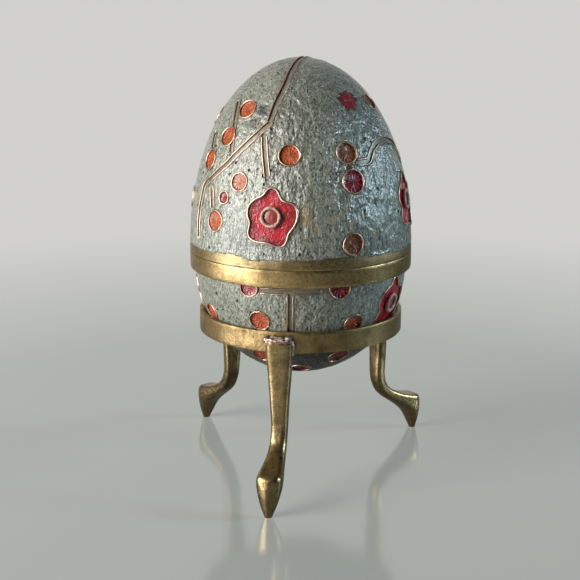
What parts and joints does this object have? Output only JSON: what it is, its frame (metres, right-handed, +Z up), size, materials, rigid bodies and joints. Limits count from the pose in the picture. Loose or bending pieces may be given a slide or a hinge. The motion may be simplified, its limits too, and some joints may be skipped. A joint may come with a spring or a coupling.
{
  "type": "decorative egg box on stand",
  "caption": "Enamelled brass egg box that opens at a brass seam, held in a ring stand on curved legs.",
  "frame": {"origin": "on the table under the egg's axis, at the height of the feet's soles", "axes": "+Z up along the egg's axis, -Y towards the viewer of the picture, +X to the viewer's right"},
  "size_m": [0.0625, 0.073, 0.1047],
  "materials": {
    "stand_brass": "aged satin",
    "egg_brass": "worn satin",
    "outline_brass": "worn polish",
    "solder": "dull cast lump",
    "ground_enamel": "gloss enamel, speckled grey-green",
    "red_enamel": "gloss enamel, crimson",
    "orange_enamel": "gloss enamel, orange",
    "brown_enamel": "gloss enamel, brown",
    "branch_enamel": "gloss enamel, dull brown"
  },
  "bodies": {
    "stand": {"stand_ring": "stand_brass", "front_leg": "stand_brass", "right_leg": "stand_brass", "left_leg": "stand_brass", "front_solder": "solder", "right_solder": "solder", "left_solder": "solder"},
    "egg_base": {"base_shell": "egg_brass", "base_band": "egg_brass", "neck_collar": "egg_brass", "base_ground_enamel": "ground_enamel", "base_outlines": "outline_brass", "base_red_enamel": "red_enamel", "base_orange_enamel": "orange_enamel", "base_branch_enamel": "branch_enamel"},
    "egg_lid": {"lid_shell": "egg_brass", "lid_ground_enamel": "ground_enamel", "lid_outlines": "outline_brass", "lid_red_enamel": "red_enamel", "lid_orange_enamel": "orange_enamel", "lid_brown_enamel": "brown_enamel", "lid_branch_enamel": "branch_enamel"}
  },
  "joints": [
    {"name": "egg_lift", "type": "slide", "parent": "stand", "child": "egg_base", "axis": [0, 0, 1], "range_m": [0, 0.03]},
    {"name": "lid_lift", "type": "slide", "parent": "egg_base", "child": "egg_lid", "axis": [0, 0, 1], "range_m": [0, 0.05]}
  ]
}
